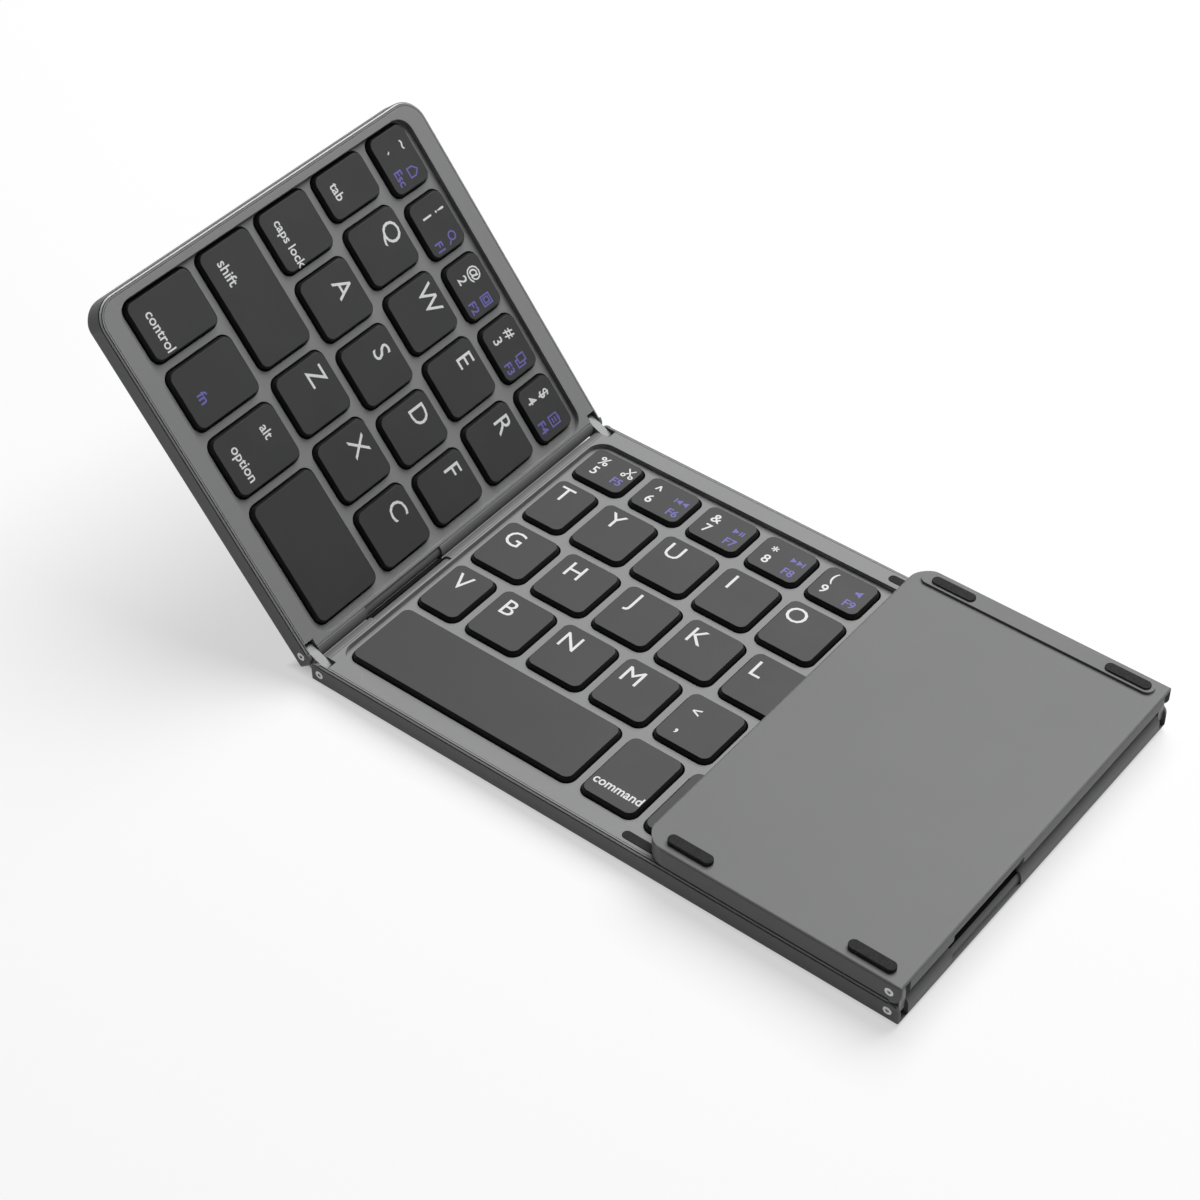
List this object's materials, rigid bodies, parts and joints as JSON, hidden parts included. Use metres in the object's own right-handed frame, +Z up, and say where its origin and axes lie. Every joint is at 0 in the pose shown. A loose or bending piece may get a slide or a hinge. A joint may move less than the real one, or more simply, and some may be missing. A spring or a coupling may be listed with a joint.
{
  "type": "folding keyboard",
  "caption": "Pocket wireless keyboard in three slim metal panels that fold onto the middle one on two-pin link hinges, with scissor keys and a touchpad.",
  "frame": {"origin": "middle of the centre panel, on the plane its feet rest on", "axes": "+X from the left hinge to the right hinge, +Y from the space bar to the number row, +Z up"},
  "size_m": [0.2047, 0.0984, 0.0743],
  "materials": {
    "shell_metal": "anodised satin",
    "deck_plastic": "fine satin",
    "key_caps": "matte",
    "black_rubber": "matte",
    "hinge_steel": "satin",
    "circuit_board": "solder mask",
    "dome_rubber": "translucent matte",
    "scissor_plastic": "natural",
    "touch_surface": "fine satin",
    "battery_foil": "foil",
    "socket_metal": "satin",
    "lens_plastic": "gloss"
  },
  "bodies": {
    "centre_panel": {"centre_back_shell": "shell_metal", "centre_deck": "deck_plastic", "centre_key_board": "circuit_board", "centre_rubber_domes": "dome_rubber", "centre_scissor_frames": "scissor_plastic", "centre_feet": "black_rubber", "centre_hinge_pins": "hinge_steel", "centre_rim_pads": "black_rubber"},
    "left_link": {"left_hinge_links": "hinge_steel", "left_cable_strip": "black_rubber"},
    "right_link": {"right_hinge_links": "hinge_steel", "right_cable_strip": "black_rubber"},
    "left_panel": {"left_back_shell": "shell_metal", "left_deck": "deck_plastic", "left_key_board": "circuit_board", "left_rubber_domes": "dome_rubber", "left_scissor_frames": "scissor_plastic", "left_feet": "black_rubber", "left_hinge_pins": "hinge_steel"},
    "right_panel": {"right_back_shell": "shell_metal", "right_deck": "deck_plastic", "right_feet": "black_rubber", "right_hinge_pins": "hinge_steel", "touchpad": "touch_surface", "main_board": "circuit_board", "battery": "battery_foil", "charge_socket": "socket_metal", "indicator_lenses": "lens_plastic"},
    "left_button": {"left_click_button": "key_caps"},
    "right_button": {"right_click_button": "key_caps"},
    "key_left_space": {"key_left_space": "key_caps"},
    "key_option": {"key_option": "key_caps"},
    "key_fn": {"key_fn": "key_caps"},
    "key_control": {"key_control": "key_caps"},
    "key_c": {"key_c": "key_caps"},
    "key_x": {"key_x": "key_caps"},
    "key_z": {"key_z": "key_caps"},
    "key_shift": {"key_shift": "key_caps"},
    "key_f": {"key_f": "key_caps"},
    "key_d": {"key_d": "key_caps"},
    "key_s": {"key_s": "key_caps"},
    "key_a": {"key_a": "key_caps"},
    "key_caps": {"key_caps": "key_caps"},
    "key_r": {"key_r": "key_caps"},
    "key_e": {"key_e": "key_caps"},
    "key_w": {"key_w": "key_caps"},
    "key_q": {"key_q": "key_caps"},
    "key_tab": {"key_tab": "key_caps"},
    "key_4": {"key_4": "key_caps"},
    "key_3": {"key_3": "key_caps"},
    "key_2": {"key_2": "key_caps"},
    "key_1": {"key_1": "key_caps"},
    "key_escape": {"key_escape": "key_caps"},
    "key_space": {"key_space": "key_caps"},
    "key_command": {"key_command": "key_caps"},
    "keys_arrows": {"keys_arrows": "key_caps"},
    "keys_lower_row": {"keys_lower_row": "key_caps"},
    "keys_home_row": {"keys_home_row": "key_caps"},
    "keys_upper_row": {"keys_upper_row": "key_caps"},
    "keys_number_row": {"keys_number_row": "key_caps"}
  },
  "joints": [
    {"name": "left_link_turn", "type": "hinge", "parent": "centre_panel", "child": "left_link", "pos_m": [-0.07165, 0, 0.0036], "axis": [0, 1, 0], "range_deg": [-26, 64]},
    {"name": "left_fold", "type": "hinge", "parent": "left_link", "child": "left_panel", "pos_m": [-0.07659, 0, 0.00601], "axis": [0, 1, 0], "range_deg": [-26, 64]},
    {"name": "right_link_turn", "type": "hinge", "parent": "centre_panel", "child": "right_link", "pos_m": [0.07165, 0, 0.0036], "axis": [0, 1, 0], "range_deg": [0, 90]},
    {"name": "right_fold", "type": "hinge", "parent": "right_link", "child": "right_panel", "pos_m": [0.07165, 0, 0.0091], "axis": [0, 1, 0], "range_deg": [0, 90]},
    {"name": "left_button_press", "type": "slide", "parent": "right_panel", "child": "left_button", "axis": [0, 0, 1], "range_m": [0, 0.0005], "stiffness_N_per_m": 250, "springref_m": -0.001},
    {"name": "right_button_press", "type": "slide", "parent": "right_panel", "child": "right_button", "axis": [0, 0, 1], "range_m": [0, 0.0005], "stiffness_N_per_m": 250, "springref_m": -0.001},
    {"name": "key_space_press", "type": "slide", "parent": "centre_panel", "child": "key_space", "axis": [0, 0, -1], "range_m": [0, 0.0012], "stiffness_N_per_m": 250, "springref_m": -0.001},
    {"name": "key_command_press", "type": "slide", "parent": "centre_panel", "child": "key_command", "axis": [0, 0, -1], "range_m": [0, 0.0012], "stiffness_N_per_m": 250, "springref_m": -0.001},
    {"name": "keys_arrows_press", "type": "slide", "parent": "centre_panel", "child": "keys_arrows", "axis": [0, 0, -1], "range_m": [0, 0.0012], "stiffness_N_per_m": 250, "springref_m": -0.001},
    {"name": "keys_lower_row_press", "type": "slide", "parent": "centre_panel", "child": "keys_lower_row", "axis": [0, 0, -1], "range_m": [0, 0.0012], "stiffness_N_per_m": 250, "springref_m": -0.001},
    {"name": "keys_home_row_press", "type": "slide", "parent": "centre_panel", "child": "keys_home_row", "axis": [0, 0, -1], "range_m": [0, 0.0012], "stiffness_N_per_m": 250, "springref_m": -0.001},
    {"name": "keys_upper_row_press", "type": "slide", "parent": "centre_panel", "child": "keys_upper_row", "axis": [0, 0, -1], "range_m": [0, 0.0012], "stiffness_N_per_m": 250, "springref_m": -0.001},
    {"name": "keys_number_row_press", "type": "slide", "parent": "centre_panel", "child": "keys_number_row", "axis": [0, 0, -1], "range_m": [0, 0.0012], "stiffness_N_per_m": 250, "springref_m": -0.001},
    {"name": "key_left_space_press", "type": "slide", "parent": "left_panel", "child": "key_left_space", "axis": [-0.788, 0, -0.6157], "range_m": [0, 0.0012], "stiffness_N_per_m": 250, "springref_m": -0.001},
    {"name": "key_option_press", "type": "slide", "parent": "left_panel", "child": "key_option", "axis": [-0.788, 0, -0.6157], "range_m": [0, 0.0012], "stiffness_N_per_m": 250, "springref_m": -0.001},
    {"name": "key_fn_press", "type": "slide", "parent": "left_panel", "child": "key_fn", "axis": [-0.788, 0, -0.6157], "range_m": [0, 0.0012], "stiffness_N_per_m": 250, "springref_m": -0.001},
    {"name": "key_control_press", "type": "slide", "parent": "left_panel", "child": "key_control", "axis": [-0.788, 0, -0.6157], "range_m": [0, 0.0012], "stiffness_N_per_m": 250, "springref_m": -0.001},
    {"name": "key_c_press", "type": "slide", "parent": "left_panel", "child": "key_c", "axis": [-0.788, 0, -0.6157], "range_m": [0, 0.0012], "stiffness_N_per_m": 250, "springref_m": -0.001},
    {"name": "key_x_press", "type": "slide", "parent": "left_panel", "child": "key_x", "axis": [-0.788, 0, -0.6157], "range_m": [0, 0.0012], "stiffness_N_per_m": 250, "springref_m": -0.001},
    {"name": "key_z_press", "type": "slide", "parent": "left_panel", "child": "key_z", "axis": [-0.788, 0, -0.6157], "range_m": [0, 0.0012], "stiffness_N_per_m": 250, "springref_m": -0.001},
    {"name": "key_shift_press", "type": "slide", "parent": "left_panel", "child": "key_shift", "axis": [-0.788, 0, -0.6157], "range_m": [0, 0.0012], "stiffness_N_per_m": 250, "springref_m": -0.001},
    {"name": "key_f_press", "type": "slide", "parent": "left_panel", "child": "key_f", "axis": [-0.788, 0, -0.6157], "range_m": [0, 0.0012], "stiffness_N_per_m": 250, "springref_m": -0.001},
    {"name": "key_d_press", "type": "slide", "parent": "left_panel", "child": "key_d", "axis": [-0.788, 0, -0.6157], "range_m": [0, 0.0012], "stiffness_N_per_m": 250, "springref_m": -0.001},
    {"name": "key_s_press", "type": "slide", "parent": "left_panel", "child": "key_s", "axis": [-0.788, 0, -0.6157], "range_m": [0, 0.0012], "stiffness_N_per_m": 250, "springref_m": -0.001},
    {"name": "key_a_press", "type": "slide", "parent": "left_panel", "child": "key_a", "axis": [-0.788, 0, -0.6157], "range_m": [0, 0.0012], "stiffness_N_per_m": 250, "springref_m": -0.001},
    {"name": "key_caps_press", "type": "slide", "parent": "left_panel", "child": "key_caps", "axis": [-0.788, 0, -0.6157], "range_m": [0, 0.0012], "stiffness_N_per_m": 250, "springref_m": -0.001},
    {"name": "key_r_press", "type": "slide", "parent": "left_panel", "child": "key_r", "axis": [-0.788, 0, -0.6157], "range_m": [0, 0.0012], "stiffness_N_per_m": 250, "springref_m": -0.001},
    {"name": "key_e_press", "type": "slide", "parent": "left_panel", "child": "key_e", "axis": [-0.788, 0, -0.6157], "range_m": [0, 0.0012], "stiffness_N_per_m": 250, "springref_m": -0.001},
    {"name": "key_w_press", "type": "slide", "parent": "left_panel", "child": "key_w", "axis": [-0.788, 0, -0.6157], "range_m": [0, 0.0012], "stiffness_N_per_m": 250, "springref_m": -0.001},
    {"name": "key_q_press", "type": "slide", "parent": "left_panel", "child": "key_q", "axis": [-0.788, 0, -0.6157], "range_m": [0, 0.0012], "stiffness_N_per_m": 250, "springref_m": -0.001},
    {"name": "key_tab_press", "type": "slide", "parent": "left_panel", "child": "key_tab", "axis": [-0.788, 0, -0.6157], "range_m": [0, 0.0012], "stiffness_N_per_m": 250, "springref_m": -0.001},
    {"name": "key_4_press", "type": "slide", "parent": "left_panel", "child": "key_4", "axis": [-0.788, 0, -0.6157], "range_m": [0, 0.0012], "stiffness_N_per_m": 250, "springref_m": -0.001},
    {"name": "key_3_press", "type": "slide", "parent": "left_panel", "child": "key_3", "axis": [-0.788, 0, -0.6157], "range_m": [0, 0.0012], "stiffness_N_per_m": 250, "springref_m": -0.001},
    {"name": "key_2_press", "type": "slide", "parent": "left_panel", "child": "key_2", "axis": [-0.788, 0, -0.6157], "range_m": [0, 0.0012], "stiffness_N_per_m": 250, "springref_m": -0.001},
    {"name": "key_1_press", "type": "slide", "parent": "left_panel", "child": "key_1", "axis": [-0.788, 0, -0.6157], "range_m": [0, 0.0012], "stiffness_N_per_m": 250, "springref_m": -0.001},
    {"name": "key_escape_press", "type": "slide", "parent": "left_panel", "child": "key_escape", "axis": [-0.788, 0, -0.6157], "range_m": [0, 0.0012], "stiffness_N_per_m": 250, "springref_m": -0.001}
  ],
  "couplings": [
    {"joint": "left_link_turn", "follows": "left_fold", "ratio": 1},
    {"joint": "right_link_turn", "follows": "right_fold", "ratio": 1}
  ]
}
